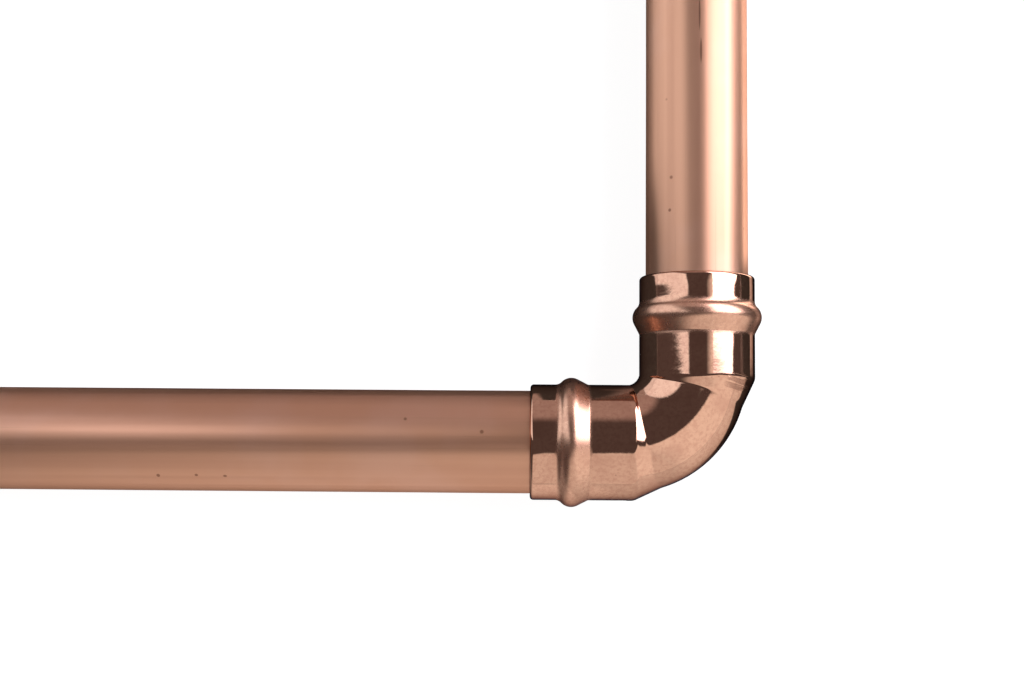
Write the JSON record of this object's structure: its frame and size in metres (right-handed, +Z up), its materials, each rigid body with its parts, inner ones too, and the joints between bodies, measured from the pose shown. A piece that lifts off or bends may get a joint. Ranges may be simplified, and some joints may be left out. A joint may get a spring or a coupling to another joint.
{
  "type": "copper pipe with elbow",
  "caption": "Copper pipe of two straight tubes joined at a right angle by a formed elbow with beaded sockets, lying flat with both far ends open.",
  "frame": {"origin": "on the floor, at the middle of the part's footprint", "axes": "+Z up, the run tube leaves the elbow along -X and the riser tube along +Y"},
  "size_m": [1.0186, 1.0186, 0.0189],
  "materials": {
    "tube_copper": "satin",
    "elbow_copper": "gloss",
    "solder": "satin"
  },
  "bodies": {
    "root": {"run_tube": "tube_copper", "riser_tube": "tube_copper", "elbow": "elbow_copper", "run_solder_ring": "solder", "riser_solder_ring": "solder"}
  },
  "joints": []
}
